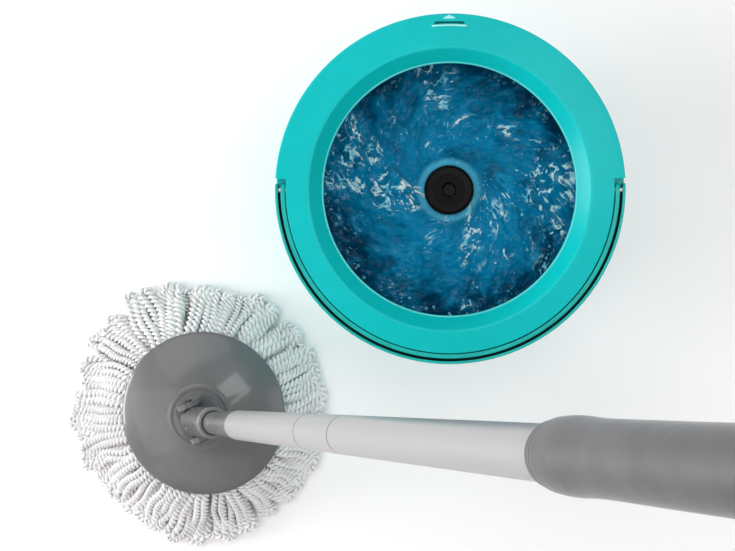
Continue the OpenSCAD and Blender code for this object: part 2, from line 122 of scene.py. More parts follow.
def swatch(name, description, default):
    """A colour that a user may change."""
    return bpy.props.FloatVectorProperty(
        name=name, description=f"Colour of {description}", subtype="COLOR", default=default, min=0, max=1)


class SPINMOP_PG_bucket(bpy.types.PropertyGroup):
    """Sizes and colours of the bucket."""

    opening_r: millimetres("Opening", "Radius of the opening", 105.5, 95, 112)
    crest_fillet: millimetres("Crest rounding", "Rounding of the collar's crest", 2.6, 0.5, 6)
    water_z: millimetres("Water level", "Height of the still water", 186, 60, 196)
    wave_h: millimetres("Wave height", "Height of the waves", 2.2, 0, 8)
    plastic: swatch("Plastic", "the bucket and its collar", (0.001, 0.470, 0.475))
    bail: swatch("Bail", "the carrying handle", (0.008, 0.400, 0.365))
    deep: swatch("Deep water", "the dark water", (0.000, 0.036, 0.088))
    bright: swatch("Bright water", "the lit water", (0.000, 0.205, 0.405))


class SPINMOP_PG_mop(bpy.types.PropertyGroup):
    """Sizes and colours of the mop."""

    loops: bpy.props.IntProperty(
        name="Loops", description="Yarn loops in each layer", default=44, min=20, max=60)
    strand_r: millimetres("Strand", "Radius of a yarn strand", 4.1, 2, 4.5)
    ply_pitch: millimetres("Twist", "Length of one turn of the plies", 9.6, 8, 24)
    yarn_reach: millimetres("Reach", "Mean radius that the loops reach", 129.5, 105, 136)
    disc: swatch("Disc", "the domed disc", (0.127, 0.123, 0.126))
    joint: swatch("Joint", "the joint and neck", (0.060, 0.058, 0.060))
    tube: swatch("Tube", "the silver tubes", (0.320, 0.317, 0.320))
    grip: swatch("Grip", "the grip sleeve", (0.055, 0.054, 0.058))
    cotton: swatch("Cotton", "the yarn", (0.955, 0.940, 0.935))


# ---------- outlines and surfaces ----------

def unit(vector):
    """The vector at length 1."""
    return vector / np.linalg.norm(vector)


def outline(corners, closed=True, steps=5):
    """Corners (radius, height, fillet) in millimetres, joined by straight lines.

    Each fillet is an arc that touches both of its lines, with a point just past each of its ends
    so that the flats beside it stay flat when shaded smooth."""
    points = np.array([corner[:2] for corner in corners], float)
    rows = []
    for i, here in enumerate(points):
        fillet = corners[i][2] if len(corners[i]) > 2 else 0
        if fillet == 0 or (not closed and i in (0, len(points) - 1)):
            rows.append(here[None])
            continue
        back = points[i - 1] - here
        ahead = points[(i + 1) % len(points)] - here
        half = 0.5 * math.acos(np.clip(unit(back) @ unit(ahead), -1, 1))
        cut = min(fillet / math.tan(half), 0.42 * np.linalg.norm(back), 0.42 * np.linalg.norm(ahead))
        centre = here + unit(unit(back) + unit(ahead)) * cut / math.cos(half)
        first = here + unit(back) * cut - centre
        last = here + unit(ahead) * cut - centre
        bend = math.pi - 2 * half
        t = np.linspace(0, 1, steps + 1)[:, None]
        arc = centre + (np.sin((1 - t) * bend) * first + np.sin(t * bend) * last) / math.sin(bend)
        shy = min(0.3, 0.3 * cut)
        rows.append(np.vstack([arc[0] + unit(back) * shy, arc, arc[-1] + unit(ahead) * shy]))
    return np.vstack(rows)


def grid_faces(rows, columns, wrap_rows, wrap_columns):
    """Quads of a rows by columns grid of points, numbered along the columns first."""
    i = np.arange(rows if wrap_rows else rows - 1)
    j = np.arange(columns if wrap_columns else columns - 1)
    i, j = (a.ravel() for a in np.meshgrid(i, j, indexing="ij"))
    i2, j2 = (i + 1) % rows, (j + 1) % columns
    return np.stack([i * columns + j, i2 * columns + j, i2 * columns + j2, i * columns + j2], axis=1)


def turned(profile, start=0.0, sweep=TURN, steps=160, shape=None):
    """Sweeps a closed profile round Z: radius r and height z at angle a go to (r cos a, r sin a, z).

    shape(r, z, a) may move the points first. A part turn is closed by a face at each end."""
    whole = sweep > TURN - 1e-9
    angles = start + sweep * np.arange(steps if whole else steps + 1) / steps
    a = angles[:, None] + 0 * profile[None, :, 0]
    r = profile[None, :, 0] + 0 * a
    z = profile[None, :, 1] + 0 * a
    if shape:
        r, z = shape(r, z, a)
    points = np.stack([r * np.cos(a), r * np.sin(a), z], axis=-1).reshape(-1, 3)
    faces = grid_faces(len(angles), len(profile), whole, True)
    ends = []
    if not whole:
        ends = [np.arange(len(profile)), np.arange(len(profile)) + (len(angles) - 1) * len(profile)]
    return points, faces, ends


def plate(ring, low, high, bevel=0.6, steps=3):
    """Gives a flat outline (x, y) a thickness from low to high along Z, with quarter-round edges.

    Layer by layer the outline shrinks towards its middle by bevel times (1 - sin t)."""
    middle = ring.mean(axis=0)
    size = np.linalg.norm(ring - middle, axis=1).mean()
    t = np.linspace(0, math.pi / 2, steps + 1)
    inset = bevel * (1 - np.sin(t))
    rise = bevel * (1 - np.cos(t))
    heights = np.concatenate([low + rise, (high - rise)[::-1]])
    scales = 1 - np.concatenate([inset, inset[::-1]]) / size
    points = np.empty((len(heights), len(ring), 3))
    points[..., :2] = middle + (ring - middle)[None] * scales[:, None, None]
    points[..., 2] = heights[:, None]
    faces = grid_faces(len(heights), len(ring), False, True)
    ends = [np.arange(len(ring)), np.arange(len(ring)) + (len(heights) - 1) * len(ring)]
    return points.reshape(-1, 3), faces, ends


def joined(*surfaces):
    """Puts several surfaces in one list of points, faces and ends."""
    points, faces, ends, offset = [], [], [], 0
    for p, f, e in surfaces:
        points.append(p)
        faces.append(f + offset)
        ends += [loop + offset for loop in e]
        offset += len(p)
    return np.vstack(points), np.vstack(faces), ends


def moved(surface, matrix):
    """The surface carried by a 4x4 matrix whose origin is in millimetres."""
    points, faces, ends = surface
    return points @ matrix[:3, :3].T + matrix[:3, 3], faces, ends


def piece(name, surface, place, material, body, replaces=()):
    """Makes a smooth mesh from a surface in millimetres, in its place and on its body."""
    points, faces, ends = surface
    points = points * MM @ place[:3, :3].T + place[:3, 3]
    mesh = bpy.data.meshes.new(name)
    mesh.from_pydata(points, [], faces.tolist() + [loop.tolist() for loop in ends])
    tidy = bmesh.new()
    tidy.from_mesh(mesh)
    bmesh.ops.remove_doubles(tidy, verts=tidy.verts, dist=1e-7)
    bmesh.ops.recalc_face_normals(tidy, faces=tidy.faces)
    for face in tidy.faces:
        flat = len(face.verts) > 4
        face.smooth = not flat
        if flat:
            for edge in face.edges:
                edge.smooth = False
    tidy.to_mesh(mesh)
    tidy.free()
    return dress(bpy.data.objects.new(name, mesh), material, body, replaces)


def dress(obj, material, body, replaces=()):
    """Links a new object, gives it its material in a slot and its body, and hides the nodes that it stands
    for.
    """
    bpy.context.scene.collection.objects.link(obj)
    obj.data.materials.append(material)
    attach(obj, body)
    if replaces:
        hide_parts(*replaces)
    return obj


def corners_of(obj):
    """The object's points in millimetres."""
    points = np.empty(len(obj.data.vertices) * 3)
    obj.data.vertices.foreach_get("co", points)
    return points.reshape(-1, 3) / MM


def axis_distance(obj, place):
    """Each point's distance from the Z axis of a place, and its height along it, in millimetres."""
    local = (corners_of(obj) - place[:3, 3] / MM) @ place[:3, :3]
    return np.hypot(local[:, 0], local[:, 1]), local[:, 2]


def mark_channel(obj, inside):
    """Stores which points lie in a channel or seam, for the finish to darken as painted shade."""
    obj.data.attributes.new("channel", "FLOAT", "POINT").data.foreach_set("value", inside.astype(float))


# ---------- shader maths ----------

class Socket:
    """A shader socket that takes arithmetic: each expression adds its Math nodes."""

    def __init__(self, paint, socket):
        self.paint = paint
        self.socket = socket

    def math(self, operation, *values, **settings):
        return self.paint.node("ShaderNodeMath", {"operation": operation, **settings},
                               dict(enumerate(values)))

    def __add__(self, other):
        return self.math("ADD", self, other)

    __radd__ = __add__

    def __sub__(self, other):
        return self.math("SUBTRACT", self, other)

    def __rsub__(self, other):
        return self.math("SUBTRACT", other, self)

    def __mul__(self, other):
        return self.math("MULTIPLY", self, other)

    __rmul__ = __mul__

    def __abs__(self):
        return self.math("ABSOLUTE", self)

    def clamp(self):
        return self.math("ADD", self, 0.0, use_clamp=True)

    def above(self, low, high):
        """0 below low, 1 above high, and smooth between them."""
        return self.paint.node("ShaderNodeMapRange", {"interpolation_type": "SMOOTHSTEP"},
                               {0: self, 1: low, 2: high, 3: 0.0, 4: 1.0})


class Tree:
    """The nodes of a material or of the studio's surroundings, with the one that they feed."""

    def __init__(self, owner, shader):
        owner.use_nodes = True
        self.nodes = owner.node_tree.nodes
        self.links = owner.node_tree.links
        self.shader = self.nodes[shader]

    def node(self, kind, settings, inputs, output=0):
        """Adds a node: its settings first, then the values or links of its sockets."""
        node = self.nodes.new(kind)
        for key, value in settings.items():
            setattr(node, key, value)
        for key, value in inputs.items():
            if isinstance(value, Socket):
                self.links.new(value.socket, node.inputs[key])
            else:
                node.inputs[key].default_value = value
        return Socket(self, node.outputs[output])

    def coords(self, scale=(1, 1, 1), turn=(0, 0, 0), shift=(0, 0, 0)):
        """Object coordinates, moved, turned and scaled."""
        where = self.node("ShaderNodeTexCoord", {}, {}, "Object")
        return self.node("ShaderNodeMapping", {"vector_type": "POINT"},
                         {"Vector": where, "Location": shift, "Rotation": turn, "Scale": scale})

    def noise(self, vector, scale, detail=3, roughness=0.5, distortion=0.0):
        return self.node("ShaderNodeTexNoise", {}, {
            "Vector": vector, "Scale": scale, "Detail": detail, "Roughness": roughness,
            "Distortion": distortion})

    def mix(self, factor, first, second):
        """Colour between two colours or colour links."""
        first, second = (c if isinstance(c, Socket) else (*c, 1.0) for c in (first, second))
        return self.node("ShaderNodeMix", {"data_type": "RGBA"}, {0: factor, 6: first, 7: second}, 2)

    def set(self, **links):
        """Links values to the inputs of the tree's shader."""
        for key, value in links.items():
            self.links.new(value.socket, self.shader.inputs[key.replace("_", " ")])

    def attribute(self, name, output="Fac"):
        return self.node("ShaderNodeAttribute", {"attribute_name": name}, {}, output)

    def axis_distance(self, where):
        """Distance of a place from the Z axis."""
        flat = self.node("ShaderNodeVectorMath", {"operation": "MULTIPLY"}, {0: where, 1: (1, 1, 0)})
        return self.node("ShaderNodeVectorMath", {"operation": "LENGTH"}, {0: flat}, 1)

    def height(self, where):
        return self.node("ShaderNodeSeparateXYZ", {}, {0: where}, 2)


class Paint(Tree):
    """A material and the nodes behind its Principled shader."""

    def __init__(self, name, **constants):
        self.material = bpy.data.materials.new(name)
        super().__init__(self.material, "Principled BSDF")
        for key, value in constants.items():
            self.shader.inputs[key.replace("_", " ")].default_value = value

    def bump(self, height, distance, strength=1.0):
        """Feeds a height, in metres when distance is 1, to the shader's normal."""
        self.set(Normal=self.node("ShaderNodeBump", {}, {
            "Height": height, "Distance": distance, "Strength": strength}))


def shade(colour, factor):
    """The colour made darker or lighter."""
    return tuple(min(1.0, c * factor) for c in colour)


def moulded(name, colour, roughness=0.34, grain=0.00002, mottle=0.06, coat=0.0, gloss=0.4):
    """Moulded plastic: slow mottling, a fine orange-peel skin, faint rub marks and dust in the finish."""
    paint = Paint(name, IOR=1.49, Specular_IOR_Level=gloss, Coat_Weight=coat, Coat_Roughness=0.12)
    where = paint.coords()
    slow = paint.noise(where, 9, 2)
    cloudy = paint.noise(where, 70, 4, 0.6)
    rubs = paint.noise(paint.coords(scale=(1, 7, 1), turn=(0, 0, 0.6)), 160, 3, 0.7)
    tone = (slow * 0.65 + cloudy * 0.35).above(0.3, 0.7)
    paint.set(Base_Color=paint.mix(tone, shade(colour, 1 - mottle), shade(colour, 1 + mottle)))
    paint.set(Roughness=(cloudy - 0.5) * 0.12 + rubs.above(0.58, 0.75) * 0.07 + (roughness - 0.01))
    peel = paint.noise(where, 900, 2) + paint.noise(where, 240, 2) * 0.6
    paint.bump(peel, grain)
    return paint.material


def collar_plastic(colour, opening_r, lip_z):
    """Turquoise moulded plastic, with a pale, glossier line along the thin edge round the opening as a
    painted highlight.
    """
    paint = Paint("turquoise_plastic", IOR=1.49, Specular_IOR_Level=0.18)
    where = paint.coords()
    slow = paint.noise(where, 9, 2)
    cloudy = paint.noise(where, 70, 4, 0.6)
    rubs = paint.noise(paint.coords(scale=(1, 7, 1), turn=(0, 0, 0.6)), 160, 3, 0.7)
    # painted highlight: a pale line, broken up by noise, along the thin edge round the opening
    off_lip = abs(paint.axis_distance(where) - (opening_r + 0.7) * MM).above(0.0002, 0.0008)
    lip_highlight = (1 - off_lip) * paint.height(where).above((lip_z - 1.5) * MM, lip_z * MM)
    tone = (slow * 0.65 + cloudy * 0.35).above(0.3, 0.7)
    base = paint.mix(tone, shade(colour, 0.95), shade(colour, 1.05))
    paint.set(Base_Color=paint.mix(lip_highlight * (slow * 0.7 + 0.05).clamp(), base, (0.30, 0.80, 0.80)))
    paint.set(Roughness=(cloudy - 0.5) * 0.12 + rubs.above(0.58, 0.75) * 0.07 - lip_highlight * 0.1 + 0.3)
    paint.bump(paint.noise(where, 900, 2) + paint.noise(where, 240, 2) * 0.6, 0.00002)
    return paint.material


def bail_plastic(colour):
    """Darker turquoise plastic, darkened nearly to black in the channel that runs along the bail as painted
    shade.
    """
    paint = Paint("dark_turquoise_plastic", IOR=1.49, Specular_IOR_Level=0.2)
    where = paint.coords()
    cloudy = paint.noise(where, 60, 4, 0.6)
    # painted shade: the channel is darkened nearly to black and made rougher
    channel_shade = (paint.attribute("channel") * (cloudy * 0.3 + 0.8)).clamp()
    base = paint.mix(cloudy.above(0.3, 0.7), shade(colour, 0.92), shade(colour, 1.08))
    paint.set(Base_Color=paint.mix(channel_shade, base, (0.0005, 0.020, 0.020)))
    paint.set(Roughness=cloudy * 0.1 + channel_shade * 0.3 + 0.28)
    paint.bump(paint.noise(where, 900, 2), 0.00002)
    return paint.material


def disc_plastic(colour):
    """Glossy moulded plastic of the disc: swirl marks round its axis and a soft haze."""
    paint = Paint("disc_plastic", IOR=1.5, Specular_IOR_Level=0.35, Coat_Weight=0.40, Coat_Roughness=0.085)
    where = paint.coords(shift=(-PIVOT[0], -PIVOT[1], 0))
    radius = paint.axis_distance(where)
    cloudy = paint.noise(where, 26, 3)
    wobble = paint.noise(where, 45, 2)
    phase = radius * 5200 + wobble * 9
    rings = phase.math("SINE", phase)
    marks = paint.noise(paint.coords(scale=(1, 9, 1), turn=(0, 0, 1.1)), 120, 3, 0.65)
    paint.set(Base_Color=paint.mix(cloudy.above(0.3, 0.7), shade(colour, 0.94), shade(colour, 1.07)))
    paint.set(Roughness=cloudy * 0.08 + marks.above(0.6, 0.75) * 0.10 + 0.30)
    paint.bump(rings * 0.4 + paint.noise(where, 700, 2), 0.000012)
    return paint.material


def silver_metal(colour):
    """Satin silver tube: fine marks along the tube, a faint cloudiness and painted shade in the seams."""
    paint = Paint("silver_metal", Metallic=0.15, IOR=1.6)
    along = paint.node("ShaderNodeTexCoord", {}, {}, "Object")
    away = paint.node("ShaderNodeVectorMath", {"operation": "SUBTRACT"}, {0: along, 1: tuple(PIVOT)})
    axes = [tuple(HANDLE[:3, i]) for i in range(3)]
    x, y, s = (paint.node("ShaderNodeVectorMath", {"operation": "DOT_PRODUCT"}, {0: away, 1: axis}, 1)
               for axis in axes)
    brush = paint.node("ShaderNodeCombineXYZ", {}, {0: x * 60, 1: y * 60, 2: s * 2.2})
    lines = paint.noise(brush, 26, 3, 0.6)
    cloudy = paint.noise(along, 24, 3)
    base = paint.mix(lines * 0.5 + cloudy * 0.5, shade(colour, 0.93), shade(colour, 1.04))
    # painted shade: the seam grooves of the joining band and the tube ends beside them are painted near
    # black
    paint.set(Base_Color=paint.mix(paint.attribute("channel") * 0.85, base, (0.03, 0.03, 0.03)))
    paint.set(Roughness=lines * 0.06 + cloudy * 0.05 + 0.26)
    paint.bump(cloudy, 0.00001)
    return paint.material


def grip_skin(colour):
    """Soft satin sleeve: a leathery fine grain with broad slack creases across it."""
    paint = Paint("grip_skin", IOR=1.45, Sheen_Weight=0.25, Sheen_Roughness=0.4)
    where = paint.coords()
    broad = paint.noise(where, 34, 3, 0.55, 0.6)
    creases = paint.noise(paint.coords(scale=(1, 1.4, 2.6), turn=(0.5, 0.3, 0.4)), 60, 3, 0.6)
    grain = paint.node("ShaderNodeTexVoronoi", {"feature": "F1"}, {"Vector": where, "Scale": 1500})
    paint.set(Base_Color=paint.mix(broad.above(0.3, 0.7), shade(colour, 0.84), shade(colour, 1.16)))
    paint.set(Roughness=creases * 0.16 + 0.36)
    paint.bump(broad * 0.00010 + creases * 0.00006 + grain * 0.00003, 1.0)
    return paint.material


def cotton_yarn(colour):
    """Cotton yarn: fine fibres that run with the plies, painted shade in the grooves between the plies, a
    little lint.
    """
    paint = Paint("cotton_yarn", Roughness=0.9, Sheen_Weight=0.35, Sheen_Roughness=0.5,
                  Subsurface_Weight=0.12, Subsurface_Radius=(0.002, 0.002, 0.002),
                  Subsurface_Scale=1.0)
    place = paint.node("ShaderNodeTexCoord", {}, {}, "UV")
    along = paint.node("ShaderNodeVectorMath", {"operation": "MULTIPLY"}, {0: place, 1: (1.0, 9.0, 1.0)})
    fibres = paint.noise(along, 3.0, 3, 0.65)
    lint = paint.noise(paint.coords(), 420, 3, 0.6)
    tone = paint.noise(paint.coords(), 30, 2)
    groove_shade = paint.attribute("groove_shade")
    light = paint.mix(fibres * 0.6 + tone * 0.4, shade(colour, 0.90), shade(colour, 1.03))
    # painted shade: the yarn is darkened towards deep grey between the plies
    paint.set(Base_Color=paint.mix(groove_shade * 0.50, light, shade(colour, 0.36)))
    paint.bump(fibres * 0.00040 + lint * 0.00022, 1.0)
    return paint.material


def churned_water(deep, bright):
    """Stirred water: deep and lit patches, darker towards the wall as painted shade, curling white threads
    in clusters that are part froth and part painted highlight, painted glints, bubbles near the wall and a
    pale ring where the water runs round the spindle."""
    paint = Paint("churned_water", IOR=1.33, Specular_IOR_Level=0.05, Coat_Weight=0.12,
                  Coat_Roughness=0.03, Coat_IOR=1.33)
    flow = paint.attribute("flow", "Vector")
    radius = paint.height(flow)
    flat = paint.node("ShaderNodeVectorMath", {"operation": "MULTIPLY"}, {0: flow, 1: (1, 1, 0)})
    lift = paint.attribute("lift")
    patches = paint.noise(flat, 15, 3, 0.55, 0.7)
    fine = paint.noise(flat, 58, 5, 0.68, 0.6)
    # painted shade: the tone falls off towards the wall
    tone = patches * 0.9 + fine * 0.75 + lift * 0.22 - radius * 1.2 - radius.above(0.070, 0.126) * 0.24
    body = paint.mix(tone.above(0.42, 0.92), deep, bright)
    murk = paint.noise(flat, 38, 4, 0.6, 1.0).above(0.50, 0.66)
    body = paint.mix(murk * 0.35, body, shade(deep, 0.6))
    lit = paint.mix(fine.above(0.54, 0.74) * 0.6, body, (0.02, 0.33, 0.56))
    halo = 1 - abs(radius - 0.0240).above(0.0004, 0.0062)
    ringed = paint.mix((halo * (fine * 1.2 + 0.4)).clamp(), lit, (0.09, 0.52, 0.78))
    # painted highlights: the curling white threads stand for froth and for lit wave edges, and the specks
    # are painted glints
    threads = abs(paint.noise(flat, 30, 3, 0.6, 2.4) - 0.5)
    ridge = 1 - threads.above(0.014, 0.062)
    clusters = paint.noise(flat, 17, 2, 0.5, 0.4).above(0.50, 0.57)
    broken = paint.noise(flat, 78, 2, 0.5, 1.0).above(0.47, 0.54)
    curls = ridge * clusters * broken
    cells = paint.node("ShaderNodeTexVoronoi", {"feature": "F1"}, {"Vector": flat, "Scale": 210})
    rings = 1 - abs(cells - 0.27).above(0.02, 0.07)
    bubbly = paint.noise(flat, 24, 2).above(0.52, 0.6) * radius.above(0.066, 0.092)
    glint_specks = (paint.noise(flat, 300, 2, 0.6, 0.5).above(0.64, 0.71)
              * paint.noise(flat, 21, 2).above(0.47, 0.58))
    foam_and_glints = (curls + glint_specks * 0.7 + rings * bubbly * 0.35).clamp()
    foam_and_glint_tint = paint.mix(fine.above(0.4, 0.6), (0.16, 0.66, 0.88), (0.80, 0.98, 1.0))
    paint.set(Base_Color=paint.mix(foam_and_glints, ringed, foam_and_glint_tint))
    paint.set(Roughness=foam_and_glints * 0.25 + 0.08)
    paint.bump(fine * 0.0009 + curls * 0.0008 + paint.noise(flat, 220, 3) * 0.0002, 1.0)
    return paint.material


def bright_steel():
    """Zinc-plated steel: grey mottling and light wear."""
    paint = Paint("bright_steel", Metallic=1.0)
    where = paint.coords()
    spots = paint.noise(where, 300, 3)
    paint.set(Base_Color=paint.mix(spots, (0.50, 0.51, 0.53), (0.66, 0.66, 0.68)))
    paint.set(Roughness=spots * 0.2 + 0.22)
    paint.bump(spots, 0.00002)
    return paint.material


# ---------- the bucket ----------

RIM_R = float(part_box("splash_collar")[1][0]) / MM
CREST_Z = float(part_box("splash_collar")[1][2]) / MM
BAIL_W = 8.3
BAIL_H = 11.0
OUTER_FALL = 2.8
CREST_IN = 11.5
FUNNEL_DROP = 13.0
WALL = 2.2
SKIRT = 22.0
SNAP_DEPTH = 16.0
BAIL_IN = RIM_R - BAIL_W
SNAP_OUT = BAIL_IN - 0.9
SNAP_IN = SNAP_OUT - WALL


def collar_top(r, crest_r):
    """Height of the collar's top at a radius outside its crest."""
    return CREST_Z - OUTER_FALL * (r - crest_r) / (RIM_R - crest_r)


def collar_outlines(sizes):
    """Outlines of the collar without and with the bail's recess, and of the wall between."""
    crest = sizes.opening_r + CREST_IN
    lip_z = CREST_Z - FUNNEL_DROP
    foot_z = CREST_Z - SNAP_DEPTH - OUTER_FALL
    skirt_z = CREST_Z - OUTER_FALL - SKIRT
    ledge_z = collar_top(RIM_R, crest) - BAIL_H - 0.6
    over = collar_top(SNAP_OUT, crest)
    land = 1.4
    slope_z = lip_z + FUNNEL_DROP * land / CREST_IN
    inner = [(sizes.opening_r, lip_z - 2.4, 1.0), (sizes.opening_r, slope_z - 0.2, 0.7),
             (sizes.opening_r + land, slope_z + 0.1, 0.6), (crest, CREST_Z, sizes.crest_fillet)]
    under = [(SNAP_OUT, foot_z, 0.5), (SNAP_IN, foot_z, 0.5), (SNAP_IN, over - WALL, 1.0),
             (crest, CREST_Z - WALL * 1.15, 2.0), (sizes.opening_r + WALL, lip_z - 2.4, 0.8)]
    skirt = [(RIM_R, skirt_z, 0.6), (RIM_R - WALL, skirt_z, 0.6)]
    plain = inner + [(RIM_R, collar_top(RIM_R, crest), 1.3)] + skirt + [
        (RIM_R - WALL, over - WALL, 1.0), (SNAP_OUT, over - WALL, 0.6)] + under
    cut = inner + [(SNAP_OUT, over, 0.5), (SNAP_OUT, ledge_z, 0.6), (RIM_R, ledge_z, 0.7)] + skirt + [
        (RIM_R - WALL, ledge_z - WALL, 0.6), (SNAP_OUT, ledge_z - WALL, 0.5)] + under
    web = [(SNAP_OUT - 1, ledge_z - WALL), (RIM_R - 0.1, ledge_z - WALL),
           (RIM_R - 0.1, collar_top(RIM_R, crest) - 0.6), (SNAP_OUT - 1, over - 0.6)]
    return outline(plain), outline(cut), outline(web)


class SPINMOP_OT_collar(bpy.types.Operator):
    """Makes the ring round the bucket's mouth, with the recess that the bail folds into"""

    bl_idname = "spinmop.collar"
    bl_label = "Splash Collar"

    def execute(self, context):
        sizes = context.scene.spinmop_bucket
        plain, cut, web = collar_outlines(sizes)
        crest = sizes.opening_r + CREST_IN
        pocket = math.asin((BAIL_H / 2 + 4.0) / (RIM_R - BAIL_W / 2))
        wall_turn = math.radians(1.0)
        back = turned(plain, pocket, math.pi - 2 * pocket, 150)
        front = turned(cut, math.pi - pocket, math.pi + 2 * pocket, 170)
        walls = [turned(web, a, wall_turn, 3) for a in (pocket, math.pi - pocket - wall_turn)]
        slot_mid = RIM_R - 8.0
        arrow = outline([(-6.6, 0, 0.5), (6.6, 0, 0.5), (0, 3.4, 0.5)])
        mark = plate(arrow + (0, RIM_R - 4.6), 0, 1.4, 0.5)
        dip = outline([(-13.5, -1.3, 0.5), (13.5, -1.3, 0.5), (11.4, 1.3, 0.5), (-11.4, 1.3, 0.5)])
        bow = np.linspace(-1, 1, 25)
        ridge = np.concatenate([np.stack([14.6 * bow, -2.6 - 0.7 * bow ** 2], axis=1),
                                np.stack([14.2 * bow, -1.3 - 0.5 * bow ** 2], axis=1)[::-1]])
        ledge = plate(ridge + (0, slot_mid), 0.4, 2.1, 0.4)
        marks = moved(joined(mark, ledge), raised(0, 0, collar_top(RIM_R - 4, crest) - 0.6))
        colour = tuple(sizes.plastic)
        paint = collar_plastic(colour, sizes.opening_r, CREST_Z - FUNNEL_DROP)
        piece("collar", joined(back, front, *walls), BUCKET, paint, "bucket",
              ["splash_collar"])
        # the arrow and the ridge under the slot share a pale colour; on the ridge it is a painted highlight
        # of its lit edge
        pale = moulded("mark_and_highlight_plastic", (0.30, 0.78, 0.76), 0.25)
        piece("pour_mark", marks, BUCKET, pale, "bucket")
        # painted shade: a thin near-black sheet lies on the collar where the slot's recess would be dark
        shadow = moulded("slot_shade_plastic", (0.001, 0.09, 0.09), 0.6, gloss=0.1)
        slot = moved(plate(dip + (0, slot_mid), 0, 0.5, 0.2),
                     raised(0, 0, collar_top(slot_mid, crest) - 0.46))
        piece("pour_slot_shade", slot, BUCKET, shadow, "bucket")
        return {"FINISHED"}


class SPINMOP_OT_bucket(bpy.types.Operator):
    """Makes the bucket's shell with its foot ring and socket ring"""

    bl_idname = "spinmop.bucket"
    bl_label = "Bucket Shell"

    def execute(self, context):
        low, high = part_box("bucket_shell")
        foot_z, top_z = low[2] / MM, high[2] / MM
        top_r = high[0] / MM
        foot_r = top_r - 35.4
        wall, foot_wall = 2.4, 3.2
        floor_z, floor_top = 6.0, 8.6
        flare = (top_r - foot_r) / top_z
        inside = foot_r + flare * floor_top - wall
        profile = outline([
            (0, 1.5), (27, 1.5, 0.5), (27, floor_z, 0.8), (foot_r - foot_wall, floor_z, 0.8),
            (foot_r - foot_wall, foot_z, 0.6), (foot_r, foot_z, 1.6), (foot_r + flare * 14, 14, 3),
            (foot_r + flare * 14 + 0.9, 15.4, 3), (top_r, top_z, 0.6), (top_r - wall, top_z, 0.6),
            (inside, floor_top, 3), (37, floor_top, 0.8), (37, 17.6, 0.8), (34.2, 17.6, 0.8),
            (34.2, floor_top, 0.6), (0, floor_top)])
        piece("bucket_body", turned(profile, steps=200), BUCKET, bpy.data.materials["turquoise_plastic"],
              "bucket", ["bucket_shell"])
        return {"FINISHED"}


class SPINMOP_OT_bail(bpy.types.Operator):
    """Makes the folded carrying handle: a channelled half ring with an eye at each end"""

    bl_idname = "spinmop.bail"
    bl_label = "Bail Handle"

    def execute(self, context):
        sizes = context.scene.spinmop_bucket
        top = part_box("bail_handle")[1][2] / MM - 0.1
        low = top - BAIL_H
        inner, gap, web = 3.6, 2.3, 3.0
        w2 = inner + gap
        shape = [(0, low, 0.6), (BAIL_W, low, 0.6), (BAIL_W, top, 0.7), (w2, top, 0.6),
                 (w2, low + web, 0.5), (inner, low + web, 0.5), (inner, top, 0.6), (0, top, 0.6)]
        profile = outline([(BAIL_IN + r, z, f) for r, z, f in shape])
        arch = turned(profile, math.pi, math.pi, 190)
        pin_z = joint("bail_swing")["pos_m"][2] / MM
        t = np.linspace(-math.pi / 2, math.pi / 2, 25)
        half_disc = np.stack([(BAIL_H / 2 + 0.1) * np.sin(t), (BAIL_H / 2 + 0.1) * np.cos(t)], axis=1)
        cheeks = []
        for side in (-1, 1):
            # local X is up, local Y points back, and the thickness runs outwards
            frame_of_eye = place_matrix((0, 0, 1), (0, 1, 0), (side, 0, 0), (0, 0, pin_z))
            cheeks += [moved(plate(half_disc, BAIL_IN, BAIL_IN + inner, 0.4), frame_of_eye),
                       moved(plate(half_disc, BAIL_IN + w2, RIM_R, 0.4), frame_of_eye)]
        bail = piece("bail", joined(arch, *cheeks), BUCKET, bail_plastic(tuple(sizes.bail)), "bail",
                     ["bail_handle"])
        into = axis_distance(bail, BUCKET)[0] - BAIL_IN
        z = corners_of(bail)[:, 2]
        mark_channel(bail, (into > inner - 0.2) & (into < w2 + 0.2) & (z < top - 0.5) & (z > low + 1))
        return {"FINISHED"}


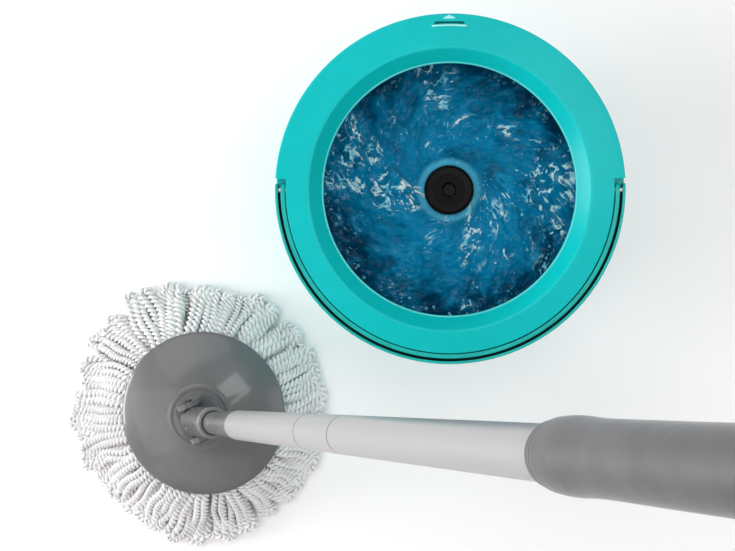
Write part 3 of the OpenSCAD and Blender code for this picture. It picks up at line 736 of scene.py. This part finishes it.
class SPINMOP_OT_spindle(bpy.types.Operator):
    """Makes the black spindle cap and its screw"""

    bl_idname = "spinmop.spindle"
    bl_label = "Spindle"

    def execute(self, context):
        low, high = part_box("spindle_cap")
        base = low[2] / MM
        top = high[2] / MM - 0.7
        radius = high[0] / MM
        paint = moulded("black_plastic", (0.003, 0.003, 0.003), 0.34, gloss=0.07)

        def ribbed(r, z, a):
            """Shallow grip ribs round the side: the radius drops a little between 24 flats."""
            side = np.clip((radius + 0.05 - r) < 0.1, 0, 1)
            return r - side * 0.35 * (0.5 + 0.5 * np.cos(24 * a)) ** 6, z

        profile = outline([
            (radius - 2.6, base, 0.4), (radius, base, 0.6), (radius, top - 1.2, 1.0),
            (radius - 2.2, top, 1.2),
            (13.5, top, 0.4), (13.0, top - 0.5, 0.3), (11.2, top - 0.5, 0.3), (10.7, top, 0.4),
            (8.8, top, 0.6), (8.2, top + 0.5, 0.5), (6.9, top + 0.5, 0.4), (6.4, top - 2.6, 0.2),
            (6.5, top - 2.6), (6.5, base, 0.3), (9.1, base, 0.3), (9.1, top - 2.6, 0.5),
            (radius - 2.6, top - 2.6, 0.8)])
        piece("cap", turned(profile, steps=240, shape=ribbed), BUCKET, paint, "spindle",
              ["spindle_cap"])
        screw_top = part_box("axle_screw")[1][2] / MM
        head = outline([(0, screw_top - 0.1), (5.6, screw_top - 0.1, 0.5), (6.2, screw_top - 0.9, 0.3),
                        (6.2, screw_top - 1.6, 0.1), (6.35, screw_top - 1.6, 0.1),
                        (6.35, screw_top - 2.0, 0.1), (2.0, screw_top - 2.1, 0.2),
                        (2.0, screw_top - 12, 0.3), (0, screw_top - 12)])

        def hexed(r, z, a):
            """Six flats: the radius follows cos 30 over the cosine from each flat's middle."""
            flat = math.cos(math.pi / 6) / np.cos(a % (math.pi / 3) - math.pi / 6)
            return np.where((z > screw_top - 1.55) & (r > 1), r * flat, r), z

        piece("cap_screw", turned(head, steps=144, shape=hexed), BUCKET, paint, "bucket",
              ["axle_screw"])
        return {"FINISHED"}


def water_edge(z):
    """Radius of the water at a height: the bucket's inner cone, less a small gap."""
    foot_r, widening, height, wall, gap = 98, 35.5, 260.7, 2.4, 0.9
    return foot_r + widening * z / height - wall - gap


class SPINMOP_OT_water(bpy.types.Operator):
    """Fills the bucket with swirling water round the spindle"""

    bl_idname = "spinmop.water"
    bl_label = "Water"

    def execute(self, context):
        sizes = context.scene.spinmop_bucket
        rng = np.random.default_rng(SEED)
        level = sizes.water_z
        wall_r = water_edge(level)
        post_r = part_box("spindle_cap")[1][0] / MM + 0.5
        radial, around = 112, 620
        t = np.linspace(0, 1, radial)
        r = (post_r + (wall_r - post_r) * t)[:, None] + np.zeros((1, around))
        a = (TURN * np.arange(around) / around)[None, :] + np.zeros((radial, 1))
        swirl = 0.4 * np.log(r / wall_r)
        u, v = r * np.cos(a + swirl), r * np.sin(a + swirl)
        lift = np.zeros_like(r)
        for wave in (62.0, 41.0, 27.0, 18.0, 12.0, 8.0, 5.5):
            heading = rng.uniform(0, TURN, 9)[:, None, None]
            phase = rng.uniform(0, TURN, 9)[:, None, None]
            ripples = np.sin(TURN / wave * (u * np.cos(heading) + v * np.sin(heading)) + phase)
            lift += wave ** 0.85 * (1 - np.abs(ripples)).mean(axis=0)
        lift = (lift - lift.min()) / (lift.max() - lift.min())
        edge = np.clip((r - post_r) / 7, 0, 1) * np.clip((wall_r - r) / 5, 0, 1)
        z = level + sizes.wave_h * (lift - 0.5) * 2 * edge - 3.0 * np.exp(-(r - post_r) / 9)
        surface = np.stack([r * np.cos(a), r * np.sin(a), z], axis=-1)
        depth = 16.0
        low_r = water_edge(level - depth)
        below = np.stack([np.stack([q * np.cos(a[0]), q * np.sin(a[0]), 0 * a[0] + level - depth], axis=-1)
                          for q in (low_r, post_r)])
        points = np.concatenate([surface, below]).reshape(-1, 3) * MM
        faces = grid_faces(radial + 2, around, True, True)
        mesh = bpy.data.meshes.new("water")
        mesh.from_pydata(points, [], faces[:, ::-1].tolist())
        mesh.shade_smooth()
        flow = np.zeros((len(points), 3))
        flow[:radial * around] = np.stack([u, v, r], axis=-1).reshape(-1, 3) * MM
        mesh.attributes.new("flow", "FLOAT_VECTOR", "POINT").data.foreach_set("vector", flow.ravel())
        tall = np.zeros(len(points))
        tall[:radial * around] = lift.ravel()
        mesh.attributes.new("lift", "FLOAT", "POINT").data.foreach_set("value", tall)
        paint = churned_water(tuple(sizes.deep), tuple(sizes.bright))
        dress(bpy.data.objects.new("water", mesh), paint, "bucket")
        count = 90
        far = wall_r - 3 - 16 * rng.random(count) ** 2
        turn = rng.choice((0.15, 3.3, 4.6), count) + rng.normal(0, 0.42, count)
        size = rng.uniform(0.7, 2.1, count)
        up, round_it = np.meshgrid(
            np.linspace(-0.5, math.pi / 2, 6), TURN * np.arange(10) / 10, indexing="ij")
        ball = np.stack(
            [np.cos(up) * np.cos(round_it), np.cos(up) * np.sin(round_it), 0.8 * np.sin(up)], axis=-1)
        middle = np.stack([far * np.cos(turn), far * np.sin(turn), np.full(count, level + 0.4)], axis=-1)
        points = middle[:, None] + size[:, None, None] * ball.reshape(1, -1, 3)
        quads = grid_faces(6, 10, False, True)
        faces = (quads[None] + (60 * np.arange(count))[:, None, None]).reshape(-1, 4)
        floors = [np.arange(10) + 60 * i for i in range(count)]
        film = moulded("bubble_film", (0.05, 0.30, 0.42), 0.08, gloss=0.8, coat=1.0)
        piece("bubbles", (points.reshape(-1, 3), faces, floors), BUCKET, film, "bucket")
        return {"FINISHED"}


# ---------- the mop's head ----------

def dome(r, edge_r, edge_z, rise):
    """Height of a dome of that rise over its edge at radius r: part of a sphere."""
    ball = (edge_r ** 2 + rise ** 2) / (2 * rise)
    return edge_z + rise - ball + np.sqrt(ball ** 2 - np.asarray(r, float) ** 2)


class SPINMOP_OT_disc(bpy.types.Operator):
    """Makes the domed disc with its hub ring and turret"""

    bl_idname = "spinmop.disc"
    bl_label = "Disc"

    def execute(self, context):
        sizes = context.scene.spinmop_mop
        low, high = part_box("disc_cover")
        edge_r = (high[0] - low[0]) / 2 / MM
        turret_top = high[2] / MM
        rise = 21.0
        edge_z = turret_top - 1 - rise
        lip_z = edge_z - 4
        wall = 2.4

        def top(r):
            """Height of the disc's upper face at a radius."""
            return float(dome(r, edge_r, edge_z, rise))

        swell = 0.7
        corners = [(9.1, turret_top, 0.4), (19.5, turret_top, 1.6), (20.3, top(20.3), 1.5),
                   (26.4, top(26.4), 2.5), (28.8, top(28.8) + swell, 1.5), (30.4, top(30.4) + swell, 1.5),
                   (32.8, top(32.8), 2.5)]
        corners += [(r, top(r)) for r in np.linspace(35, edge_r - 1.6, 26)]
        corners += [(edge_r, edge_z - 0.6, 0.9), (edge_r, lip_z, 0.7), (edge_r - wall, lip_z, 0.6),
                    (edge_r - wall, edge_z - wall, 0.8)]
        corners += [(r, top(r) - wall - 0.3) for r in np.linspace(edge_r - wall - 1, 14, 16)]
        corners += [(13, turret_top - 19.5, 0.4), (9.1, turret_top - 19.5, 0.4)]
        paint = disc_plastic(tuple(sizes.disc))
        piece("disc", turned(outline(corners), steps=240), MOP, paint, "mop_head",
              ["disc_cover"])
        return {"FINISHED"}


def yarn_paths(rng, count, inner_r, reach, top_z, spread, phase):
    """Centrelines of one layer of loops, as (loops, points, 3) in millimetres.

    A loop leaves the disc on one leg, bows over, falls to the floor, turns in a half circle and
    comes back on its other leg. Its legs lean towards the middle of their bundle and sweep
    sideways by a slow wave round the head."""
    samples = 220
    s = np.linspace(0, 1, samples)[None, :]
    base = phase + TURN * (np.arange(count)[:, None] + rng.uniform(-0.18, 0.18, (count, 1))) / count
    leg_gap = TURN / count * 0.5
    out = 1 - np.abs(2 * s - 1)
    side = np.tanh((2 * s - 1) * 14) / math.tanh(14)
    bundle = np.round(base / TURN * 23) / 23 * TURN
    far = reach + 12.0 * np.cos(base - 3.5) + 2.5 * np.sin(3 * base + 0.4) + 3.4 * np.sin(bundle * 41)
    far = far + rng.normal(0, 1.8, (count, 1))
    rounded = 1 - (1 - np.clip(out / 0.93, 0, 1)) ** 1.15
    r = inner_r + (far - inner_r) * rounded
    r = np.where(out > 0.93, far - 0.5 + 0.5 * np.sin((out - 0.93) / 0.07 * math.pi / 2), r)
    t = (r - inner_r) / (far - inner_r)
    pull = rng.uniform(0.05, 0.6, (count, 1)) * (bundle - base) * spread
    sweep = 0.10 * np.sin(2 * base + 2.2) + 0.07 * np.sin(5 * base + 0.9) + rng.normal(0, 0.025, (count, 1))
    bend = rng.normal(0, 0.026, (count, 1)) * np.sin(math.pi * t)
    small = rng.normal(0, 0.012, (count, 1))
    bend = bend + small * np.sin(3 * math.pi * t + rng.uniform(0, TURN, (count, 1)))
    a = base + side * leg_gap / 2 * (1 - 0.22 * t) + (pull + sweep * spread) * t ** 1.4 + bend
    floor_z = rng.uniform(3.4, 6.0, (count, 1))
    bow = rng.uniform(0.2, 3.0, (count, 1))
    fall = 3 * t ** 2 - 2 * t ** 3
    z = top_z + (floor_z - top_z) * fall ** 1.05 + bow * np.sin(math.pi * np.clip(t * 1.6, 0, 1))
    z = z + rng.normal(0, 1.0, (count, 1)) * np.sin(math.pi * t) * 0.8
    return np.stack([r * np.cos(a), r * np.sin(a), z], axis=-1)


def even(paths, count):
    """The paths at equal steps of their own length, and each path's length."""
    steps = np.linalg.norm(np.diff(paths, axis=1), axis=2)
    run = np.concatenate([np.zeros((len(paths), 1)), np.cumsum(steps, axis=1)], axis=1)
    wanted = np.linspace(0, 1, count)[None] * run[:, -1:]
    fresh = np.stack([np.stack([np.interp(w, d, p[:, k]) for k in range(3)], axis=-1)
                      for w, d, p in zip(wanted, run, paths)])
    return fresh, run[:, -1]


def strands(name, paths, radius, pitch, material, rng):
    """Two-ply strands along centrelines: round each ring the surface is the outside of two pressed
    plies, d |cos a| + sqrt(p^2 - d^2 sin^2 a), and the ring turns once in every pitch of length."""
    rings, sides = 150, 16
    centre, length = even(paths, rings)
    tangent = np.gradient(centre, axis=1)
    tangent /= np.linalg.norm(tangent, axis=2, keepdims=True)
    across = np.cross(tangent, (0, 0, 1.0))
    across /= np.linalg.norm(across, axis=2, keepdims=True)
    over = np.cross(across, tangent)
    pitch = pitch * rng.uniform(0.85, 1.35, (len(paths), 1))
    turn = TURN * np.linspace(0, 1, rings)[None, :] * length[:, None] / pitch
    turn = turn + rng.uniform(0, TURN, (len(paths), 1))
    thick = radius * rng.uniform(0.84, 1.16, (len(paths), 1))
    waves = rng.uniform(12, 30, (len(paths), 1))
    slub = 1 + 0.06 * np.sin(np.linspace(0, 1, rings)[None] * waves + turn[:, :1])
    taper = np.clip(np.minimum(np.arange(rings), np.arange(rings)[::-1]) / 2, 0, 1)[None] * 0.9 + 0.1
    around = TURN * np.arange(sides) / sides
    apart = 0.76
    ply = 1 / (1 + apart)
    shape = apart * ply * np.abs(np.cos(around)) + np.sqrt(ply ** 2 - (apart * ply * np.sin(around)) ** 2)
    ring_r = (thick * slub * taper)[..., None] * shape
    angle = turn[..., None] + around
    points = centre[:, :, None] + ring_r[..., None] * (
        np.cos(angle)[..., None] * across[:, :, None] + np.sin(angle)[..., None] * over[:, :, None])
    points[..., 2] = np.maximum(points[..., 2], 0.15)
    each = rings * sides
    quads = grid_faces(rings, sides, False, True)
    faces = (quads[None] + (np.arange(len(paths)) * each)[:, None, None]).reshape(-1, 4)
    caps = [np.arange(sides)[::-1] + i * each for i in range(len(paths))]
    caps += [np.arange(sides) + (i + 1) * each - sides for i in range(len(paths))]
    mesh = bpy.data.meshes.new(name)
    placed = points.reshape(-1, 3) * MM + MOP[:3, 3]
    mesh.from_pydata(placed, [], faces[:, ::-1].tolist() + [c.tolist() for c in caps])
    mesh.shade_smooth()
    # how deep each point lies between the two plies, for the yarn's painted shade
    groove_shade = np.broadcast_to((shape.max() - shape) / (shape.max() - shape.min()), ring_r.shape)
    mesh.attributes.new("groove_shade", "FLOAT", "POINT").data.foreach_set("value", groove_shade.ravel())
    along = np.broadcast_to((np.linspace(0, 1, rings)[None] * length[:, None])[..., None], ring_r.shape)
    round_it = np.broadcast_to(around / TURN * 6, ring_r.shape)
    corner_uv = np.stack([along.ravel(), round_it.ravel()], axis=-1)
    index = np.empty(len(mesh.loops), dtype=np.int32)
    mesh.loops.foreach_get("vertex_index", index)
    mesh.uv_layers.new(name="UVMap").data.foreach_set("uv", corner_uv[index].ravel())
    return dress(bpy.data.objects.new(name, mesh), material, "mop_head")


class SPINMOP_OT_yarn(bpy.types.Operator):
    """Makes the bundle of looped, twisted cotton yarn in four layers"""

    bl_idname = "spinmop.yarn"
    bl_label = "Yarn"

    def execute(self, context):
        sizes = context.scene.spinmop_mop
        rng = np.random.default_rng(SEED)
        paint = cotton_yarn(tuple(sizes.cotton))
        step = TURN / sizes.loops
        top = 35.0
        layers = [("yarn_top", sizes.loops - 4, 74, sizes.yarn_reach, top, 1.0, 0),
                  ("yarn_upper", sizes.loops - 6, 72, sizes.yarn_reach + 1, top - 9, 0.7, step / 2),
                  ("yarn_lower", sizes.loops - 6, 58, sizes.yarn_reach - 2, top - 16, 0.4, step / 3),
                  ("yarn_floor", sizes.loops - 12, 44, sizes.yarn_reach - 5, top - 24, 0.2, step / 4)]
        for name, count, inner_r, reach, z, spread, phase in layers:
            paths = yarn_paths(rng, count, inner_r, reach, z, spread, phase)
            strands(name, paths, sizes.strand_r, sizes.ply_pitch, paint, rng)
        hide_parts("yarn_ring")
        return {"FINISHED"}


# ---------- the joint and the handle ----------

class SPINMOP_OT_joint(bpy.types.Operator):
    """Makes the barrel with its neck, the ring on it, and the yoke's finish"""

    bl_idname = "spinmop.joint"
    bl_label = "Tilting Joint"

    def execute(self, context):
        sizes = context.scene.spinmop_mop
        paint = moulded("joint_plastic", tuple(sizes.joint), 0.30, coat=0.3)
        moulded("yoke_plastic", tuple(sizes.disc), 0.32, coat=0.2)
        barrel_r, neck_r = 14.2, 10.4
        tube_low = span("lower_tube", TUBE_R)[0]
        ring_low, ring_high = span("joint_ring", barrel_r - 0.5)
        spigot = 11.0
        ball = [(barrel_r * math.cos(t), barrel_r * math.sin(t)) for t in np.linspace(-math.pi / 2, 0, 22)]
        straight = [(barrel_r, z) for z in np.linspace(1.0, 40.0, 50)]
        corners = ball + straight + [
            (barrel_r, ring_low - 1.8, 0.7), (neck_r, ring_low - 1.8, 0.3), (neck_r, ring_high + 40, 30),
            (11.8, tube_low - 6, 8), (11.8, tube_low, 0.5), (spigot, tube_low, 0.1),
            (spigot, tube_low + 38, 0.6), (0, tube_low + 38)]
        dimple_s, dimple_r = 21.0, 2.7

        def dimpled(r, z, a):
            """A round blind hole in the barrel's underside: the radius drops inside its circle."""
            off = np.hypot(z - dimple_s, r * (a % TURN - math.pi))
            hole = np.clip((dimple_r - off) / 0.5, 0, 1) * (r > barrel_r - 0.2)
            return r - 3.2 * hole, z

        knuckle = turned(outline(corners), steps=200, shape=dimpled)
        piece("knuckle", knuckle, HANDLE, paint, "handle", ["knuckle_neck"])
        ring = outline([(neck_r + 0.5, ring_low, 0.3), (barrel_r, ring_low, 0.8),
                        (barrel_r, ring_high - 0.6, 0.8), (barrel_r - 0.9, ring_high, 0.6),
                        (neck_r + 0.5, ring_high, 0.4)])
        pale = moulded("ring_plastic", (0.17, 0.166, 0.17), 0.26, coat=0.4)
        piece("neck_ring", turned(ring, steps=120), HANDLE, pale, "handle", ["joint_ring"])
        return {"FINISHED"}


class SPINMOP_OT_tubes(bpy.types.Operator):
    """Makes the two silver tubes and the band that joins them"""

    bl_idname = "spinmop.tubes"
    bl_label = "Tubes"

    def execute(self, context):
        sizes = context.scene.spinmop_mop
        paint = silver_metal(tuple(sizes.tube))
        radius, bore = TUBE_R, TUBE_R - 1.0
        for name, node in (("tube_low", "lower_tube"), ("tube_high", "upper_tube")):
            low, high = span(node, radius)
            start = 1.6 if node == "lower_tube" else 0.4
            wall = outline([(bore, low, 0.3), (radius, low, start), (radius, high, 0.4), (bore, high, 0.3)])
            tube = piece(name, turned(wall, steps=128), HANDLE, paint, "handle", [node])
            away, along = axis_distance(tube, HANDLE)
            ends = np.minimum(np.abs(along - low), np.abs(along - high))
            mark_channel(tube, (ends < 0.05) & (along > 230) & (along < 960))
        low = span("lower_tube", radius)[1]
        high = span("upper_tube", radius)[0]
        seam, deep = 1.4, 1.1
        spigot, inside = 11.05, 8.2
        band = outline([
            (inside, low - 38, 0.4), (spigot, low - 38, 0.4), (spigot, low, 0.1), (radius - deep, low, 0.1),
            (radius - deep, low + seam, 0.1), (radius, low + seam, 0.4), (radius, high - seam, 0.4),
            (radius - deep, high - seam, 0.1), (radius - deep, high, 0.1), (spigot, high, 0.1),
            (spigot, high + 38, 0.4), (inside, high + 38, 0.4)])
        joining = piece("joining_band", turned(band, steps=128), HANDLE, paint, "handle",
                        ["coupling"])
        away = axis_distance(joining, HANDLE)[0]
        mark_channel(joining, (away < radius - 0.2) & (away > spigot + 0.02))
        return {"FINISHED"}


class SPINMOP_OT_grip(bpy.types.Operator):
    """Makes the soft grip sleeve with its rounded mouth"""

    bl_idname = "spinmop.grip"
    bl_label = "Grip"

    def execute(self, context):
        sizes = context.scene.spinmop_mop
        paint = grip_skin(tuple(sizes.grip))
        low = span("guide_bush", 14.1)[0]
        radius, bore = 15.0, 13.0
        high = span("grip_sleeve", radius)[1]
        length = high - low
        z = np.concatenate([84 * np.linspace(0, 1, 60) ** 1.6, np.linspace(90, length, 60)])
        body = radius + np.exp(-((z - 22) / 16) ** 2) - 2.2 * np.clip(1 - z / 9, 0, None) ** 2
        body -= 0.55 * np.exp(-((z - 6.8) / 1.1) ** 2)
        inside = [(bore, length), (14.1, length - 1), (14.1, 1.0), (14.1, 0)]
        profile = np.vstack([np.stack([body, z], axis=1), inside])

        def slack(r, z, a):
            """Shallow creases: the radius sinks along slanting waves that fade at the mouth."""
            outside = (r > 14.2) * np.clip(z / 30, 0, 1)
            crease = np.sin(2 * a + z / 31) * np.sin(z / 17 + 1.3 * np.sin(a))
            crease = crease + 0.6 * np.sin(3 * a - z / 23)
            return r + 0.03 * outside * crease, z

        sleeve = turned(profile, steps=144, shape=slack)
        piece("grip", moved(sleeve, raised(0, 0, low)), HANDLE, paint, "grip",
              ["grip_sleeve"])
        return {"FINISHED"}


# ---------- finishes of the CAD nodes that stay ----------

class SPINMOP_OT_finishes(bpy.types.Operator):
    """Gives every CAD node that stays in view its own finish"""

    bl_idname = "spinmop.finishes"
    bl_label = "Finishes"

    def execute(self, context):
        steel = bright_steel()
        blacked = moulded("blacked_steel", (0.05, 0.05, 0.052), 0.4)
        nylon = moulded("nylon", (0.72, 0.72, 0.70), 0.45)
        rubber = moulded("rubber", (0.02, 0.02, 0.02), 0.75, 0.00005)
        dark = moulded("dark_grey_plastic", (0.085, 0.085, 0.090), 0.42)
        turquoise = bpy.data.materials["turquoise_plastic"]
        yoke_grey = bpy.data.materials["yoke_plastic"]
        finish = {
            steel: ["bail_pins", "post_screws", "spindle_axle", "carrier_screws", "stem_washer",
                    "stem_screw", "nut_retainer", "twisted_rod", "rod_pin"],
            blacked: ["pivot_pin"],
            nylon: ["thrust_washer", "lower_bush", "upper_bush", "drive_nut"],
            rubber: ["base_pads"],
            dark: ["yarn_carrier", "clutch_housing", "guide_bush", "end_cap"],
            turquoise: ["spin_post"],
            yoke_grey: ["yoke"],
        }
        for material, nodes in finish.items():
            for name in nodes:
                slots = frame["nodes"][name].data.materials
                slots.clear()
                slots.append(material)
        return {"FINISHED"}


# ---------- floor, lights and camera ----------

def softbox(name, place, target, size, energy):
    """A rectangular area light that faces its target."""
    light = bpy.data.lights.new(name, "AREA")
    light.shape = "RECTANGLE"
    light.size, light.size_y = size
    light.energy = energy
    holder = bpy.data.objects.new(name, light)
    holder.location = place
    holder.rotation_euler = (Vector(target) - Vector(place)).to_track_quat("-Z", "Y").to_euler()
    bpy.context.scene.collection.objects.link(holder)


class SPINMOP_OT_stage(bpy.types.Operator):
    """Sets the pale floor, the soft lights and the camera above the bucket"""

    bl_idname = "spinmop.stage"
    bl_label = "Stage"

    def execute(self, context):
        floor = bpy.data.meshes.new("floor")
        reach = 6.0
        corners = [(-reach, -reach, 0), (reach, -reach, 0), (reach, reach, 0), (-reach, reach, 0)]
        floor.from_pydata(corners, [], [(0, 1, 2, 3)])
        paint = Paint("floor_paint", Roughness=0.85, Specular_IOR_Level=0.2)
        haze = paint.noise(paint.coords(), 3, 2)
        paint.set(Base_Color=paint.mix(haze, (0.960, 0.930, 0.930), (0.980, 0.950, 0.950)))
        floor.materials.append(paint.material)
        ground = bpy.data.objects.new("floor", floor)
        context.scene.collection.objects.link(ground)

        # the surroundings are a pale ceiling that fades to a darker horizon
        world = bpy.data.worlds.new("studio")
        room = Tree(world, "Background")
        sky = room.node("ShaderNodeTexCoord", {}, {}, "Generated")
        room.set(Color=room.mix(room.height(sky).above(0.0, 0.85), (0.25, 0.25, 0.25), (0.42, 0.42, 0.42)))
        context.scene.world = world
        context.scene.view_settings.view_transform = "Standard"
        softbox("key", (-1.2, 2.0, 2.2), (0, 0, 0.1), (3.0, 2.2), 31)
        softbox("left", (-2.3, -0.9, 2.5), (-0.1, -0.1, 0.2), (2.4, 2.2), 26)
        softbox("window", (0.22, 0.13, 1.80), (-0.2465, -0.224, 0.05), (0.56, 0.60), 5.6)
        softbox("front", (-0.6, -2.0, 1.5), (-0.25, -0.2, 0.05), (2.6, 1.2), 8)
        softbox("side", (-2.5, -0.2, 0.5), (-0.1, -0.2, 0.4), (1.3, 0.6), 46)
        softbox("right", (2.6, 0.2, 2.0), (0, 0, 0.1), (2.4, 1.8), 19)

        camera = bpy.data.cameras.new("camera")
        focal_px, frame_px, sensor_mm = 1400, 735, 36
        camera.sensor_width = sensor_mm
        camera.lens = sensor_mm * focal_px / frame_px
        camera.clip_start = 0.01
        eye = bpy.data.objects.new("camera", camera)
        eye.location = (0, 0, 1.4287)
        aim = Vector((-0.0832, -0.0872, 0)) - eye.location
        eye.rotation_euler = Vector((0, 0, -1)).rotation_difference(aim).to_euler()
        context.scene.collection.objects.link(eye)
        context.scene.camera = eye
        return {"FINISHED"}


class SPINMOP_PT_panel(bpy.types.Panel):
    """Lists the steps in the order that they run"""

    bl_idname = "SPINMOP_PT_panel"
    bl_label = "Spin Mop"
    bl_space_type = "VIEW_3D"
    bl_region_type = "UI"
    bl_category = "Spin Mop"

    def draw(self, context):
        for operator in STEPS:
            self.layout.operator(operator.bl_idname)
        for group in (context.scene.spinmop_bucket, context.scene.spinmop_mop):
            box = self.layout.box()
            for name in group.__annotations__:
                box.prop(group, name)


STEPS = (SPINMOP_OT_collar, SPINMOP_OT_bucket, SPINMOP_OT_bail, SPINMOP_OT_spindle, SPINMOP_OT_water,
         SPINMOP_OT_disc, SPINMOP_OT_yarn, SPINMOP_OT_joint, SPINMOP_OT_tubes, SPINMOP_OT_grip,
         SPINMOP_OT_finishes, SPINMOP_OT_stage)
CLASSES = (SPINMOP_PG_bucket, SPINMOP_PG_mop, *STEPS, SPINMOP_PT_panel)


def register():
    for cls in CLASSES:
        bpy.utils.register_class(cls)
    bpy.types.Scene.spinmop_bucket = bpy.props.PointerProperty(type=SPINMOP_PG_bucket)
    bpy.types.Scene.spinmop_mop = bpy.props.PointerProperty(type=SPINMOP_PG_mop)


def unregister():
    del bpy.types.Scene.spinmop_mop
    del bpy.types.Scene.spinmop_bucket
    for cls in reversed(CLASSES):
        bpy.utils.unregister_class(cls)


def main():
    """Runs every step in order."""
    register()
    for operator in STEPS:
        group, name = operator.bl_idname.split(".")
        getattr(getattr(bpy.ops, group), name)()


if __name__ == "__main__":
    main()
